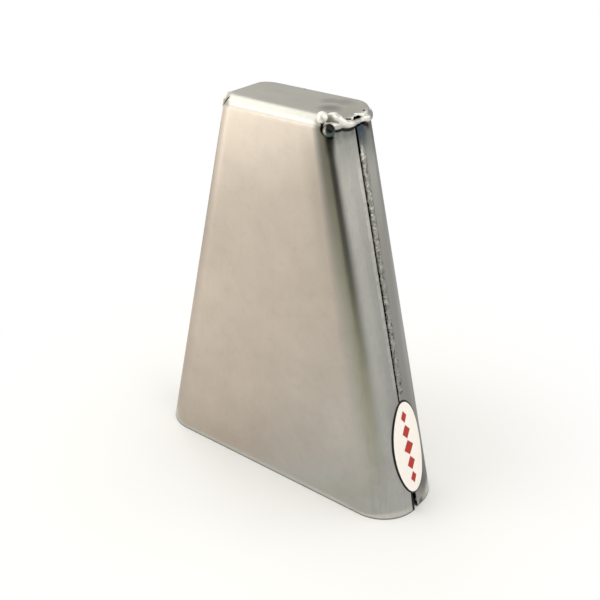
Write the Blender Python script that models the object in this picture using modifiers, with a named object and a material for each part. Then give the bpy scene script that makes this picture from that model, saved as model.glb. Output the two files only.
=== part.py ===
"""Hand-held bongo bell: two formed steel sheets, welded down both sides and round the crown.

The bell stands on its mouth, centred on the origin. Its front playing face looks along -Y and its labelled
side along +X. Lengths are in metres, angles in degrees.
"""

import math
from collections import namedtuple

import bmesh
import bpy
from mathutils import Matrix, Vector

# The bell's body
BELL_HEIGHT = 0.203
MOUTH_WIDTH = 0.165
MOUTH_DEPTH = 0.0505
MOUTH_CORNER = 0.021
CROWN_WIDTH = 0.0645
CROWN_DEPTH = 0.039
CROWN_CORNER = 0.0095
SHEET = 0.0016
CLEARANCE = 0.0003

# The crown's shoulders: how far they fall, and how far in over the crown each one starts
SHOULDER_FALL = 0.005
FRONT_SHOULDER = 0.008
REAR_SHOULDER = 0.0055
RIGHT_SHOULDER = 0.008
REAR_RIGHT_SHOULDER = 0.003
LEFT_SHOULDER = 0.003
SHOULDER_CHANGE = 40.0
END_TURN = 75.0
FLANGE_TOP = 0.1953

# The side seams, which lean a little to the front on their way to the mouth
SEAM_AT_MOUTH = -0.0038
SEAM_AT_CROWN = -0.0002
SEAM_GAP = 0.0015
SEAM_BEAD = 0.0019
SEAM_BEAD_SINK = 0.0006
SEAM_BEAD_SHIFT = 0.0033
SEAM_RIPPLE = 0.0045
SEAM_TOP = 0.1945
RIGHT_SEAM_FOOT = 0.063
LEFT_SEAM_FOOT = 0.011
TACK_BEAD = 0.0015
TACK_TIP = 0.0012
TACK_FOOT = 0.0012
TACK_TOP = 0.0070

# The rolls of weld at the crown's ends: distance round the side, height, lift off the steel and radius
Spot = namedtuple("Spot", "girth height lift radius")
RIGHT_ROLL = (
    Spot(-0.0172, 0.2016, -0.0023, 0.0019),
    Spot(-0.0156, 0.2019, -0.0018, 0.0020),
    Spot(-0.0140, 0.2024, -0.0015, 0.0021),
    Spot(-0.0124, 0.2022, -0.0012, 0.00225),
    Spot(-0.0105, 0.2009, -0.0009, 0.0022),
    Spot(-0.0084, 0.1993, -0.0006, 0.0020),
    Spot(-0.0056, 0.1979, -0.0005, 0.0018),
    Spot(-0.0020, 0.1972, -0.0005, 0.0016),
    Spot(0.0018, 0.1971, -0.0005, 0.0013),
    Spot(0.0050, 0.1971, -0.0005, 0.0010),
    Spot(0.0074, 0.1973, -0.0005, 0.0012),
)
LEFT_ROLL = (
    Spot(-0.0166, 0.1977, 0.0000, 0.0009),
    Spot(-0.0164, 0.1990, 0.0000, 0.0011),
    Spot(-0.0158, 0.2003, -0.0002, 0.0013),
    Spot(-0.0140, 0.2009, -0.0005, 0.0016),
    Spot(-0.0110, 0.2006, -0.0007, 0.0020),
    Spot(-0.0075, 0.2000, -0.0007, 0.0022),
    Spot(-0.0040, 0.1992, -0.0006, 0.0022),
    Spot(0.0000, 0.1985, -0.0005, 0.0021),
    Spot(0.0035, 0.1981, -0.0005, 0.0020),
    Spot(0.0074, 0.1979, -0.0005, 0.0019),
)

# The runs of weld round the rear corners. The right one starts swollen.
REAR_RIGHT_RUN = (
    Spot(0.0078, 0.1976, -0.0005, 0.0017),
    Spot(0.0095, 0.1974, -0.0004, 0.0021),
    Spot(0.0117, 0.1971, -0.0005, 0.00225),
    Spot(0.0143, 0.1972, -0.0006, 0.0020),
    Spot(0.0172, 0.1976, -0.0005, 0.0018),
    Spot(0.0202, 0.1976, -0.0005, 0.0020),
    Spot(0.0234, 0.1976, -0.0005, 0.0018),
)
REAR_LEFT_RUN = (
    Spot(0.0078, 0.1978, -0.0005, 0.0018),
    Spot(0.0109, 0.1977, -0.0005, 0.0020),
    Spot(0.0140, 0.1976, -0.0005, 0.0018),
    Spot(0.0171, 0.1976, -0.0005, 0.0020),
    Spot(0.0202, 0.1976, -0.0005, 0.0018),
    Spot(0.0234, 0.1976, -0.0005, 0.0020),
)

# The other welds
RIPPLE_NECK = 0.88
REAR_BEAD = 0.00105
CORNER_BALL = 0.0028
CORNER_BALL_PLACE = (0.0275, -0.0164, 0.2025)
DRIP_SIZE = (0.0030, 0.0030, 0.0031)
DRIP_ANGLE = 42.0
DRIP_HEIGHT = 0.1974
DRIP_LIFT = 0.0005

# The oval label on the right side
LABEL_WIDTH = 0.0245
LABEL_HEIGHT = 0.0515
LABEL_MIDDLE = 0.0344
LABEL_OFF_CENTRE = -0.0009
LABEL_FILM = 0.00025

# Fineness of the surfaces
CORNER_STEPS = 10
FACE_STEPS = 8
WALL_STEPS = 8
BEND_STEP = 15.0
ROLL_FACETS = 3
LABEL_RINGS = 4
LABEL_SPOKES = 40
BALL_SPOKES = 18
BALL_RINGS = 12
SHARP_FROM = 35.0

# Sizes that follow
BEND_FOOT = BELL_HEIGHT - SHOULDER_FALL
REAR_BEAD_HEIGHT = (FLANGE_TOP + BEND_FOOT) / 2
TRIM = 0.001
MERGE = 0.00001

Section = namedtuple("Section", "half_width half_depth corner")

Finish = namedtuple("Finish", "colour roughness metallic")

SATIN_STEEL = Finish((0.58, 0.55, 0.50, 1.0), 0.38, 1.0)
WELD_METAL = Finish((0.66, 0.65, 0.62, 1.0), 0.30, 1.0)
BURNT_WELD = Finish((0.16, 0.16, 0.15, 1.0), 0.25, 1.0)
WHITE_FILM = Finish((0.90, 0.89, 0.87, 1.0), 0.35, 0.0)


def clear_scene():
    for obj in list(bpy.data.objects):
        bpy.data.objects.remove(obj)


def new_collection(name):
    collection = bpy.data.collections.new(name)
    bpy.context.scene.collection.children.link(collection)
    return collection


def give_finish(obj, finish):
    material = bpy.data.materials.new(f"{obj.name} finish")
    material.use_nodes = True
    shader = material.node_tree.nodes["Principled BSDF"]
    shader.inputs["Base Color"].default_value = finish.colour
    shader.inputs["Roughness"].default_value = finish.roughness
    shader.inputs["Metallic"].default_value = finish.metallic
    obj.data.materials.append(material)


def mesh_object(name, bm, collection):
    mesh = bpy.data.meshes.new(name)
    bm.to_mesh(mesh)
    bm.free()
    mesh.shade_smooth()
    mesh.set_sharp_from_angle(angle=math.radians(SHARP_FROM))
    obj = bpy.data.objects.new(name, mesh)
    collection.objects.link(obj)
    return obj


def cut(obj, cutter):
    boolean = obj.modifiers.new(f"cut by {cutter.name}", "BOOLEAN")
    boolean.operation = "DIFFERENCE"
    boolean.solver = "EXACT"
    boolean.object = cutter


def hide_cutter(obj):
    obj.hide_render = True
    obj.display_type = "WIRE"


def taper(at_mouth, at_crown, height):
    """A size at a height, on the straight line from its value at the mouth to its value at the crown."""
    return at_mouth + (at_crown - at_mouth) * height / BELL_HEIGHT


def section(height):
    """The bell's outer outline at a height: a rounded rectangle."""
    half_width = taper(MOUTH_WIDTH, CROWN_WIDTH, height) / 2
    half_depth = taper(MOUTH_DEPTH, CROWN_DEPTH, height) / 2
    return Section(half_width, half_depth, taper(MOUTH_CORNER, CROWN_CORNER, height))


def corner_point(face, angle, height, lift=0.0):
    """A point on a right-hand corner, 0 at the side and 90 at the face, lifted off the steel.

    face is -1 for the front face and 1 for the rear one.
    """
    half_width, half_depth, corner = section(height)
    turn = math.radians(angle)
    x = half_width - corner + (corner + lift) * math.cos(turn)
    y = half_depth - corner + (corner + lift) * math.sin(turn)
    return Vector((x, face * y, height))


def side_point(girth, height, lift):
    """A point on the right side at a distance round it from the middle, negative towards the front."""
    half_width, half_depth, corner = section(height)
    flat = half_depth - corner
    if abs(girth) <= flat:
        return Vector((half_width + lift, girth, height))
    angle = math.degrees((abs(girth) - flat) / corner)
    return corner_point(math.copysign(1, girth), angle, height, lift)


def front_seam_edge(height):
    return taper(SEAM_AT_MOUTH, SEAM_AT_CROWN, height)


def rear_seam_edge(height):
    return front_seam_edge(height) + SEAM_GAP


def mirrored(points):
    return [Vector((-point.x, point.y, point.z)) for point in points]


def sheet_outline(height, seam_edge, face):
    """A sheet's outer face at a height, right seam edge to left. face is -1 in front and 1 behind."""
    half_width, half_depth, corner = section(height)
    right = [Vector((half_width, seam_edge, height))]
    right += [corner_point(face, 90 * step / CORNER_STEPS, height) for step in range(CORNER_STEPS + 1)]
    flat = half_width - corner
    across = [
        Vector((flat * (1 - 2 * step / FACE_STEPS), face * half_depth, height))
        for step in range(1, FACE_STEPS)
    ]
    return right + across + mirrored(reversed(right))


def face_columns(row, beside=0):
    """The part of a row that lies on the flat face, with some steps of the corners beside it."""
    first = (len(row) - FACE_STEPS - 1) // 2 - beside
    return row[first : len(row) - first]


def add_row(bm, points):
    return [bm.verts.new(point) for point in points]


def add_sheet(bm, rows, face):
    """Quads between rows that run right to left, so that they face out of the bell."""
    for low, high in zip(rows, rows[1:]):
        for index in range(len(low) - 1):
            quad = [low[index], low[index + 1], high[index + 1], high[index]]
            if face < 0:
                quad.reverse()
            bm.faces.new(quad)


def add_wall(bm, seam_edge, face):
    """The wall of one sheet, from just under the mouth up to the top of its side returns."""
    rows = []
    for step in range(WALL_STEPS + 1):
        height = -TRIM + (FLANGE_TOP + TRIM) * step / WALL_STEPS
        rows.append(add_row(bm, sheet_outline(height, seam_edge(height), face)))
    add_sheet(bm, rows, face)
    return rows[-1]


def right_shoulder(face, angle):
    """How far in the right end's shoulder starts, at an angle round a corner. Behind, it tightens."""
    share = min(angle / SHOULDER_CHANGE, 1.0) if face > 0 else 0.0
    return RIGHT_SHOULDER + (REAR_RIGHT_SHOULDER - RIGHT_SHOULDER) * share


def shoulder_row(face, turn):
    """One face's half of the crown's edge, right to left: 0 on the flat crown, 90 where the wall starts."""
    half_width, half_depth, corner = section(BEND_FOOT)
    inset = 1 - math.sin(math.radians(turn))
    height = BEND_FOOT + SHOULDER_FALL * math.cos(math.radians(turn))
    flat = half_width - corner
    across = corner - (FRONT_SHOULDER if face < 0 else REAR_SHOULDER) * inset
    right = []
    left = []
    for step in range(CORNER_STEPS + 1):
        angle = 90 * step / CORNER_STEPS
        run = math.cos(math.radians(angle))
        y = face * (half_depth - corner + across * math.sin(math.radians(angle)))
        right.append(Vector((flat + (corner - right_shoulder(face, angle) * inset) * run, y, height)))
        left.append(Vector((-flat - (corner - LEFT_SHOULDER * inset) * run, y, height)))
    y = face * (half_depth - corner + across)
    middle = [Vector((flat * (1 - 2 * step / FACE_STEPS), y, height)) for step in range(1, FACE_STEPS)]
    return right + middle + left[::-1]


def add_crown(bm, top_row):
    """The flat crown and the shoulders round it, carried on from the wall's last row.

    The shoulders run down to the wall in front, to a lip behind and to the weld at the ends.
    """
    turns = [BEND_STEP * step for step in range(round(END_TURN / BEND_STEP), -1, -1)]
    front = [add_row(bm, shoulder_row(-1, turn)) for turn in turns]
    rear = [add_row(bm, shoulder_row(1, turn)) for turn in turns]
    add_sheet(bm, front, -1)
    add_sheet(bm, rear, 1)
    for low, high in zip(range(len(turns)), range(1, len(turns))):
        bm.faces.new((front[low][0], rear[low][0], rear[high][0], front[high][0]))
        bm.faces.new((front[high][-1], rear[high][-1], rear[low][-1], front[low][-1]))
    bm.faces.new(list(reversed(front[-1])) + rear[-1])
    corners = add_row(bm, face_columns(shoulder_row(-1, 90.0), CORNER_STEPS))
    add_sheet(bm, [face_columns(top_row, CORNER_STEPS), corners, front[0]], -1)
    bm.faces.new((corners[0], top_row[1], top_row[0]))
    bm.faces.new((top_row[-1], top_row[-2], corners[-1]))
    lip = add_row(bm, face_columns(shoulder_row(1, 90.0)))
    add_sheet(bm, [lip, face_columns(rear[0])], 1)


def make_sheet(name, bm, collection, cutters):
    """An open surface of the bell's outside, thickened inwards and then cut."""
    sheet = mesh_object(name, bm, collection)
    solidify = sheet.modifiers.new("thickness", "SOLIDIFY")
    solidify.thickness = SHEET
    solidify.offset = -1.0
    solidify.use_even_offset = True
    for cutter in cutters:
        cut(sheet, cutter)
    give_finish(sheet, SATIN_STEEL)


def make_front_shell(collection, cutters):
    bm = bmesh.new()
    top_row = add_wall(bm, front_seam_edge, -1)
    add_crown(bm, top_row)
    make_sheet("front_shell", bm, collection, cutters)


def make_rear_shell(collection, cutters):
    bm = bmesh.new()
    add_wall(bm, rear_seam_edge, 1)
    make_sheet("rear_shell", bm, collection, cutters)


def make_mouth_cutter(collection):
    """A slab whose top is the plane of the mouth, wider than the bell."""
    bm = bmesh.new()
    size = Vector((2 * MOUTH_WIDTH, 2 * MOUTH_DEPTH, MOUTH_DEPTH))
    bmesh.ops.create_cube(bm, size=1.0, matrix=Matrix.Diagonal(size).to_4x4())
    cutter = mesh_object("mouth_plane", bm, collection)
    cutter.location.z = -size.z / 2
    hide_cutter(cutter)
    return cutter


def make_body_cutter(collection):
    """The body's outside, a clearance larger, which shapes the back of what lies on it."""
    bm = bmesh.new()
    rows = []
    for height in (-TRIM, BELL_HEIGHT):
        angles = [90 * step / CORNER_STEPS for step in range(CORNER_STEPS + 1)]
        front = [corner_point(-1, angle, height, CLEARANCE) for angle in reversed(angles)]
        rear = [corner_point(1, angle, height, CLEARANCE) for angle in angles]
        rows.append(add_row(bm, front + rear + mirrored(reversed(front + rear))))
    count = len(rows[0])
    for index in range(count):
        after = (index + 1) % count
        bm.faces.new((rows[0][index], rows[0][after], rows[1][after], rows[1][index]))
    bm.faces.new(list(reversed(rows[0])))
    bm.faces.new(rows[1])
    cutter = mesh_object("body_outside", bm, collection)
    hide_cutter(cutter)
    return cutter


def weld_bead(name, points, radii, collection):
    """A weld bead: a round run of metal along points, with its own radius at each."""
    curve = bpy.data.curves.new(name, "CURVE")
    curve.dimensions = "3D"
    curve.bevel_depth = 1.0
    curve.bevel_resolution = 2
    curve.use_fill_caps = True
    spline = curve.splines.new("POLY")
    spline.points.add(len(points) - 1)
    for spot, point, radius in zip(spline.points, points, radii):
        spot.co = (*point, 1.0)
        spot.radius = radius
    spline.use_smooth = True
    bead = bpy.data.objects.new(name, curve)
    collection.objects.link(bead)
    give_finish(bead, WELD_METAL)
    return bead


def as_mesh(bead):
    """The bead as a closed mesh, which can be cut."""
    bpy.context.view_layer.update()
    evaluated = bead.evaluated_get(bpy.context.evaluated_depsgraph_get())
    mesh = bpy.data.meshes.new_from_object(evaluated)
    bm = bmesh.new()
    bm.from_mesh(mesh)
    bmesh.ops.remove_doubles(bm, verts=bm.verts, dist=MERGE)
    bm.to_mesh(mesh)
    bm.free()
    name = bead.name
    solid = bpy.data.objects.new(name, mesh)
    solid.matrix_world = bead.matrix_world
    bead.users_collection[0].objects.link(solid)
    bpy.data.objects.remove(bead)
    solid.name = name
    return solid


def rippled(radius, count):
    """Radii that swell and draw in by turns, as the puddle of a weld freezes."""
    return [radius * (1.0 if index % 2 else RIPPLE_NECK) for index in range(count)]


def seam_points(foot, top, pitch):
    """Points up the right seam's bead, two to a ripple."""
    count = 2 * round((top - foot) / pitch) + 1
    points = []
    for index in range(count):
        height = foot + (top - foot) * index / (count - 1)
        x = section(height).half_width - SEAM_BEAD_SINK
        points.append(Vector((x, front_seam_edge(height) + SEAM_BEAD_SHIFT, height)))
    return points


def make_seam_welds(collection, body_outside):
    right = seam_points(RIGHT_SEAM_FOOT, SEAM_TOP, SEAM_RIPPLE)
    left = mirrored(seam_points(LEFT_SEAM_FOOT, SEAM_TOP, SEAM_RIPPLE))
    for name, points in (("right_seam_weld", right), ("left_seam_weld", left)):
        bead = as_mesh(weld_bead(name, points, rippled(SEAM_BEAD, len(points)), collection))
        cut(bead, body_outside)


def make_mouth_tacks(collection, body_outside):
    right = seam_points(TACK_FOOT, TACK_TOP, TACK_TOP - TACK_FOOT)
    radii = [TACK_TIP, TACK_BEAD, TACK_TIP]
    for name, points in (("right_mouth_tack", right), ("left_mouth_tack", mirrored(right))):
        tack = as_mesh(weld_bead(name, points, radii, collection))
        cut(tack, body_outside)


def roll_of_weld(name, spots, mirror, extra, collection):
    """The roll of weld at one end of the crown as a mesh, with something extra on its radius."""
    points = [side_point(spot.girth, spot.height, spot.lift) for spot in spots]
    radii = [spot.radius + extra for spot in spots]
    roll = weld_bead(name, mirrored(points) if mirror else points, radii, collection)
    roll.data.bevel_resolution = ROLL_FACETS
    return as_mesh(roll)


def make_end_cutters(collection):
    """The room that the welds at the crown's ends and rear corners take out of the sheets."""
    rooms = [
        roll_of_weld("right_roll_room", RIGHT_ROLL, False, CLEARANCE, collection),
        roll_of_weld("left_roll_room", LEFT_ROLL, True, CLEARANCE, collection),
        roll_of_weld("rear_right_room", REAR_RIGHT_RUN, False, CLEARANCE, collection),
        roll_of_weld("rear_left_room", REAR_LEFT_RUN, True, CLEARANCE, collection),
    ]
    for room in rooms:
        hide_cutter(room)
    return rooms


def make_end_welds(collection, ball_room):
    right = roll_of_weld("right_crown_weld", RIGHT_ROLL, False, 0.0, collection)
    cut(right, ball_room)
    roll_of_weld("left_crown_weld", LEFT_ROLL, True, 0.0, collection)
    roll_of_weld("rear_right_corner_weld", REAR_RIGHT_RUN, False, 0.0, collection)
    roll_of_weld("rear_left_corner_weld", REAR_LEFT_RUN, True, 0.0, collection)


def make_rear_crown_weld(collection):
    """The bead between the crown's rear lip and the rear sheet, level with both."""
    half_width, half_depth, corner = section(REAR_BEAD_HEIGHT)
    half_length = half_width - corner - CLEARANCE
    y = half_depth - SHEET / 2
    ends = [Vector((x, y, REAR_BEAD_HEIGHT)) for x in (half_length, -half_length)]
    weld_bead("rear_crown_weld", ends, [REAR_BEAD, REAR_BEAD], collection)


def weld_ball(name, place, size, finish, collection):
    bm = bmesh.new()
    stretch = Matrix.Diagonal(size).to_4x4()
    bmesh.ops.create_uvsphere(
        bm, u_segments=BALL_SPOKES, v_segments=BALL_RINGS, radius=1.0, matrix=stretch
    )
    ball = mesh_object(name, bm, collection)
    ball.location = place
    give_finish(ball, finish)
    return ball


def ball_of_weld(name, extra, collection):
    radius = CORNER_BALL + extra
    size = Vector((radius, radius, radius))
    return weld_ball(name, Vector(CORNER_BALL_PLACE), size, WELD_METAL, collection)


def make_ball_cutter(collection):
    cutter = ball_of_weld("corner_ball_room", CLEARANCE, collection)
    hide_cutter(cutter)
    return cutter


def make_front_corner_welds(collection, cutters):
    ball_of_weld("front_right_corner_weld", 0.0, collection)
    place = corner_point(-1, DRIP_ANGLE, DRIP_HEIGHT, DRIP_LIFT)
    drip = weld_ball("front_right_weld_drip", place, Vector(DRIP_SIZE), BURNT_WELD, collection)
    for cutter in cutters:
        cut(drip, cutter)


def make_label(collection):
    """A thin oval film laid round the right side, built ring by ring from its middle."""
    bm = bmesh.new()
    centre = bm.verts.new(side_point(LABEL_OFF_CENTRE, LABEL_MIDDLE, CLEARANCE))
    rings = []
    for ring in range(1, LABEL_RINGS + 1):
        share = ring / LABEL_RINGS
        points = []
        for spoke in range(LABEL_SPOKES):
            turn = 2 * math.pi * spoke / LABEL_SPOKES
            girth = LABEL_OFF_CENTRE + share * LABEL_WIDTH / 2 * math.cos(turn)
            height = LABEL_MIDDLE + share * LABEL_HEIGHT / 2 * math.sin(turn)
            points.append(side_point(girth, height, CLEARANCE))
        rings.append(add_row(bm, points))
    for spoke in range(LABEL_SPOKES):
        after = (spoke + 1) % LABEL_SPOKES
        bm.faces.new((centre, rings[0][spoke], rings[0][after]))
        for inner, outer in zip(rings, rings[1:]):
            bm.faces.new((inner[spoke], outer[spoke], outer[after], inner[after]))
    label = mesh_object("oval_label", bm, collection)
    film = label.modifiers.new("film", "SOLIDIFY")
    film.thickness = LABEL_FILM
    film.offset = 1.0
    give_finish(label, WHITE_FILM)


clear_scene()
bell = new_collection("bongo_bell")
cutters = new_collection("cutters")
mouth_plane = make_mouth_cutter(cutters)
body_outside = make_body_cutter(cutters)
end_rooms = make_end_cutters(cutters)
ball_room = make_ball_cutter(cutters)
make_front_shell(bell, [mouth_plane, *end_rooms, ball_room])
make_rear_shell(bell, [mouth_plane, *end_rooms])
make_seam_welds(bell, body_outside)
make_mouth_tacks(bell, body_outside)
make_end_welds(bell, ball_room)
make_rear_crown_weld(bell)
make_front_corner_welds(bell, [body_outside, end_rooms[0]])
make_label(bell)
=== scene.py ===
import math
from collections import namedtuple

import bmesh
import bpy
from mathutils import Matrix, Vector, noise


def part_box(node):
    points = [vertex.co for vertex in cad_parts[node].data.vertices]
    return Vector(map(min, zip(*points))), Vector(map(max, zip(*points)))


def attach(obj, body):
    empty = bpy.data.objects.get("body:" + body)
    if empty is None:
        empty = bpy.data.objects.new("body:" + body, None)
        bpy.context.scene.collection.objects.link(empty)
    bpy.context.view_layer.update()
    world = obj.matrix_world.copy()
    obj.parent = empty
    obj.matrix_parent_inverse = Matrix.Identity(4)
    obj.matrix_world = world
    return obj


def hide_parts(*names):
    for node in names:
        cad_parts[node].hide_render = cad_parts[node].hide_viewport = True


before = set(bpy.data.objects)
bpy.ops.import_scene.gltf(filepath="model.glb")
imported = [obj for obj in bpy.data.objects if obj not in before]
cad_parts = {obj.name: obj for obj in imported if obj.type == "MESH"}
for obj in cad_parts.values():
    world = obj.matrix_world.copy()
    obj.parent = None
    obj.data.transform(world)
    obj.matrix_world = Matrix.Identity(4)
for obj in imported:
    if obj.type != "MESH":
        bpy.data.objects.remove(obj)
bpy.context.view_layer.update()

# The front sheet
# A blank of bare mild steel, about 1.6 mm thick, folded into the playing face, the front half of both sides
# and the crown. It is satin from rolling and wiping, and the welding heat has browned and blued its top.
# Its colour also holds painted shade and dark reflections by the bends, welds, slit and rim, and a highlight
# by the slit.
MM = 0.001
front_low, front_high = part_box("front_shell")
BELL_HEIGHT = front_high.z
MOUTH_WIDTH = front_high.x - front_low.x
MOUTH_DEPTH = -2 * front_low.y
MOUTH_CORNER = 21 * MM
CROWN_WIDTH = 64.5 * MM
CROWN_DEPTH = 39 * MM
CROWN_CORNER = 9.5 * MM
SHEET = 1.6 * MM
SHOULDER_FALL = 5 * MM
FRONT_SHOULDER = 8 * MM
REAR_SHOULDER = 5.5 * MM
RIGHT_SHOULDER = 8 * MM
REAR_RIGHT_SHOULDER = 3 * MM
LEFT_SHOULDER = 3 * MM
SHOULDER_CHANGE = 40.0
FRONT_TURN = 89.0
END_TURN = 82.0
END_HOLES = (
    (-5.9 * MM, 0.7 * MM, 14.0),
    (0.6 * MM, 1.0 * MM, 13.0),
    (3.0 * MM, 1.8 * MM, 13.0),
    (5.6 * MM, 1.4 * MM, 9.0),
)
FLANGE_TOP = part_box("rear_shell")[1].z
BEND_FOOT = BELL_HEIGHT - SHOULDER_FALL
SEAM_AT_MOUTH = -3.8 * MM
SEAM_AT_CROWN = -0.2 * MM
SEAM_GAP_LOW = 0.8 * MM
SEAM_GAP_HIGH = 1.5 * MM
SEAM_WANDER = 0.42 * MM
SEAM_WANDER_RUN = 11 * MM
SEAM_NIBBLE = 0.24 * MM
SEAM_NIBBLE_RUN = 2.6 * MM
MOUTH_GAPE = 1.9 * MM
GAPE_HEIGHT = 32 * MM
REAR_GAPE = 0.75
EDGE_ROUND = 0.4 * MM
EDGE_FACETS = 3
EDGE_SHARP = 50.0
FACE_WAVE = 0.10 * MM
FACE_WAVE_RUN = 45 * MM
CROWN_WAVE = 0.10 * MM
WANDER_ROW = 1.1
NIBBLE_ROW = 6.4
FRONT_CUT = 3.7
REAR_CUT = 8.2
FACE_WAVE_ROW = 2.3
CROWN_WAVE_ROW = 7.7
CORNER_STEPS = 20
CORNER_ANGLES = [90 * step / CORNER_STEPS for step in range(CORNER_STEPS + 1)]
FACE_STEPS = 24
SIDE_STEPS = 5
END_STEPS = 24
WALL_STEPS = 160
BEND_STEPS = 14
CROWN_RINGS = (0.86, 0.68, 0.48, 0.28, 0.1)

Section = namedtuple("Section", "half_width half_depth corner")
Column = namedtuple("Column", "face side angle slide end")


def taper(at_mouth, at_crown, height):
    """A size at a height, on the straight line from the mouth to the crown."""
    return at_mouth + (at_crown - at_mouth) * height / BELL_HEIGHT


def section(height):
    """The bell's outer outline at a height: a rounded rectangle."""
    half_width = taper(MOUTH_WIDTH, CROWN_WIDTH, height) / 2
    half_depth = taper(MOUTH_DEPTH, CROWN_DEPTH, height) / 2
    return Section(half_width, half_depth, taper(MOUTH_CORNER, CROWN_CORNER, height))


def corner_point(face, angle, height, lift=0.0):
    """A point on a right-hand corner, 0 at the side and 90 at the face, lifted off the steel."""
    half_width, half_depth, corner = section(height)
    turn = math.radians(angle)
    x = half_width - corner + (corner + lift) * math.cos(turn)
    y = half_depth - corner + (corner + lift) * math.sin(turn)
    return Vector((x, face * y, height))


def sheared(height, cut):
    """How far a cut edge strays from its line, where the shears wandered and nibbled."""
    wander = noise.noise(Vector((height / SEAM_WANDER_RUN, cut, WANDER_ROW)))
    nibble = noise.noise(Vector((height / SEAM_NIBBLE_RUN, cut, NIBBLE_ROW)))
    return SEAM_WANDER * wander + SEAM_NIBBLE * nibble


def gape(height):
    """How far the front edge draws back near the mouth, where no weld holds it. The rear one does less."""
    return MOUTH_GAPE * max(0.0, 1 - height / GAPE_HEIGHT)


def seam_gap(height):
    """The slit between the two sheets' edges without the gape. It narrows towards the mouth."""
    return taper(SEAM_GAP_LOW, SEAM_GAP_HIGH, height)


def front_seam_edge(height):
    return taper(SEAM_AT_MOUTH, SEAM_AT_CROWN, height) - gape(height) + sheared(height, FRONT_CUT)


def rear_seam_edge(height):
    line = taper(SEAM_AT_MOUTH, SEAM_AT_CROWN, height) + seam_gap(height)
    return line + gape(height) * REAR_GAPE + sheared(height, REAR_CUT)


def mirrored(points):
    return [Vector((-point.x, point.y, point.z)) for point in points]


def wall_row(share, crest, edge, face, depth):
    """A sheet's wall at a share of its height, right seam edge to left, at a depth into its thickness.

    The sides rise from the flange's top at the seam to the crest at the corners.
    """
    right = []
    for step in range(SIDE_STEPS):
        along = step / SIDE_STEPS
        height = share * (FLANGE_TOP + (crest - FLANGE_TOP) * along)
        half_width, half_depth, corner = section(height)
        start, stop = edge(height), face * (half_depth - corner)
        right.append(Vector((half_width - depth, start + (stop - start) * along, height)))
    height = share * crest
    half_width, half_depth, corner = section(height)
    right += [corner_point(face, angle, height, -depth) for angle in CORNER_ANGLES]
    flat = half_width - corner
    across = []
    for step in range(1, FACE_STEPS):
        x = flat * (1 - 2 * step / FACE_STEPS)
        fade = math.sin(math.pi * step / FACE_STEPS) * math.sin(math.pi * share)
        spot = Vector((x / FACE_WAVE_RUN, face * FACE_WAVE_ROW, height / FACE_WAVE_RUN))
        wave = FACE_WAVE * fade * (noise.noise(spot) - 1)
        across.append(Vector((x, face * (half_depth + wave - depth), height)))
    return right + across + mirrored(reversed(right))


def wall_faces(step, crest, edge, face):
    """The outside and the inside of a sheet's wall at one of its steps."""
    return [wall_row(step / WALL_STEPS, crest, edge, face, depth) for depth in (0.0, SHEET)]


def end_turn(y):
    """How far down the crown's right end comes, in degrees: less where the weld left a hole under it."""
    bites = [bite * math.exp(-(((y - place) / reach) ** 2)) for place, reach, bite in END_HOLES]
    return END_TURN - sum(bites)


def crown_columns():
    """Columns round the crown's edge, from the rear of the right end by way of the front."""
    half_width, half_depth, corner = section(BEND_FOOT)
    end_flat, face_flat = half_depth - corner, 2 * (half_width - corner)
    slides = [2 * end_flat * step / END_STEPS for step in range(END_STEPS)]
    shifts = [face_flat * step / FACE_STEPS for step in range(1, FACE_STEPS)]
    angles = CORNER_ANGLES
    right_end = [Column(1, 1, 0.0, slide, end_turn(end_flat - slide)) for slide in slides]
    turns = [90.0 + (FRONT_TURN - 90.0) * angle / 90 for angle in angles]
    front = [Column(-1, 1, angle, 0.0, turn) for angle, turn in zip(angles, turns)]
    front += [Column(-1, 1, 90.0, shift, FRONT_TURN) for shift in shifts]
    front += [Column(-1, -1, angle, 0.0, turn) for angle, turn in zip(reversed(angles), reversed(turns))]
    left_end = [Column(-1, -1, 0.0, slide, END_TURN) for slide in slides[1:]]
    rear = [Column(1, -1, angle, 0.0, END_TURN) for angle in angles]
    rear += [Column(1, -1, 90.0, shift, 90.0) for shift in shifts]
    rear += [Column(1, 1, angle, 0.0, END_TURN) for angle in reversed(angles[1:])]
    return right_end, front, left_end + rear


def end_shoulder(column):
    """How far in over the crown an end's shoulder starts. Behind on the right, it tightens."""
    if column.side < 0:
        return LEFT_SHOULDER
    share = min(column.angle / SHOULDER_CHANGE, 1.0) if column.face > 0 else 0.0
    return RIGHT_SHOULDER + (REAR_RIGHT_SHOULDER - RIGHT_SHOULDER) * share


def shoulder_point(column, share, depth):
    """A point of the crown's edge: share 0 on the flat crown, 1 at the column's lower end."""
    half_width, half_depth, corner = section(BEND_FOOT)
    turn, angle = math.radians(column.end * share), math.radians(column.angle)
    reach = FRONT_SHOULDER if column.face < 0 else REAR_SHOULDER
    across = corner - reach + (reach - depth) * math.sin(turn)
    reach = end_shoulder(column)
    along = corner - reach + (reach - depth) * math.sin(turn)
    x = half_width - corner + along * math.cos(angle) - column.slide * math.sin(angle)
    y = half_depth - corner + across * math.sin(angle) - column.slide * math.cos(angle)
    z = BEND_FOOT + (SHOULDER_FALL - depth) * math.cos(turn)
    return Vector((column.side * x, column.face * y, z))


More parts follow.
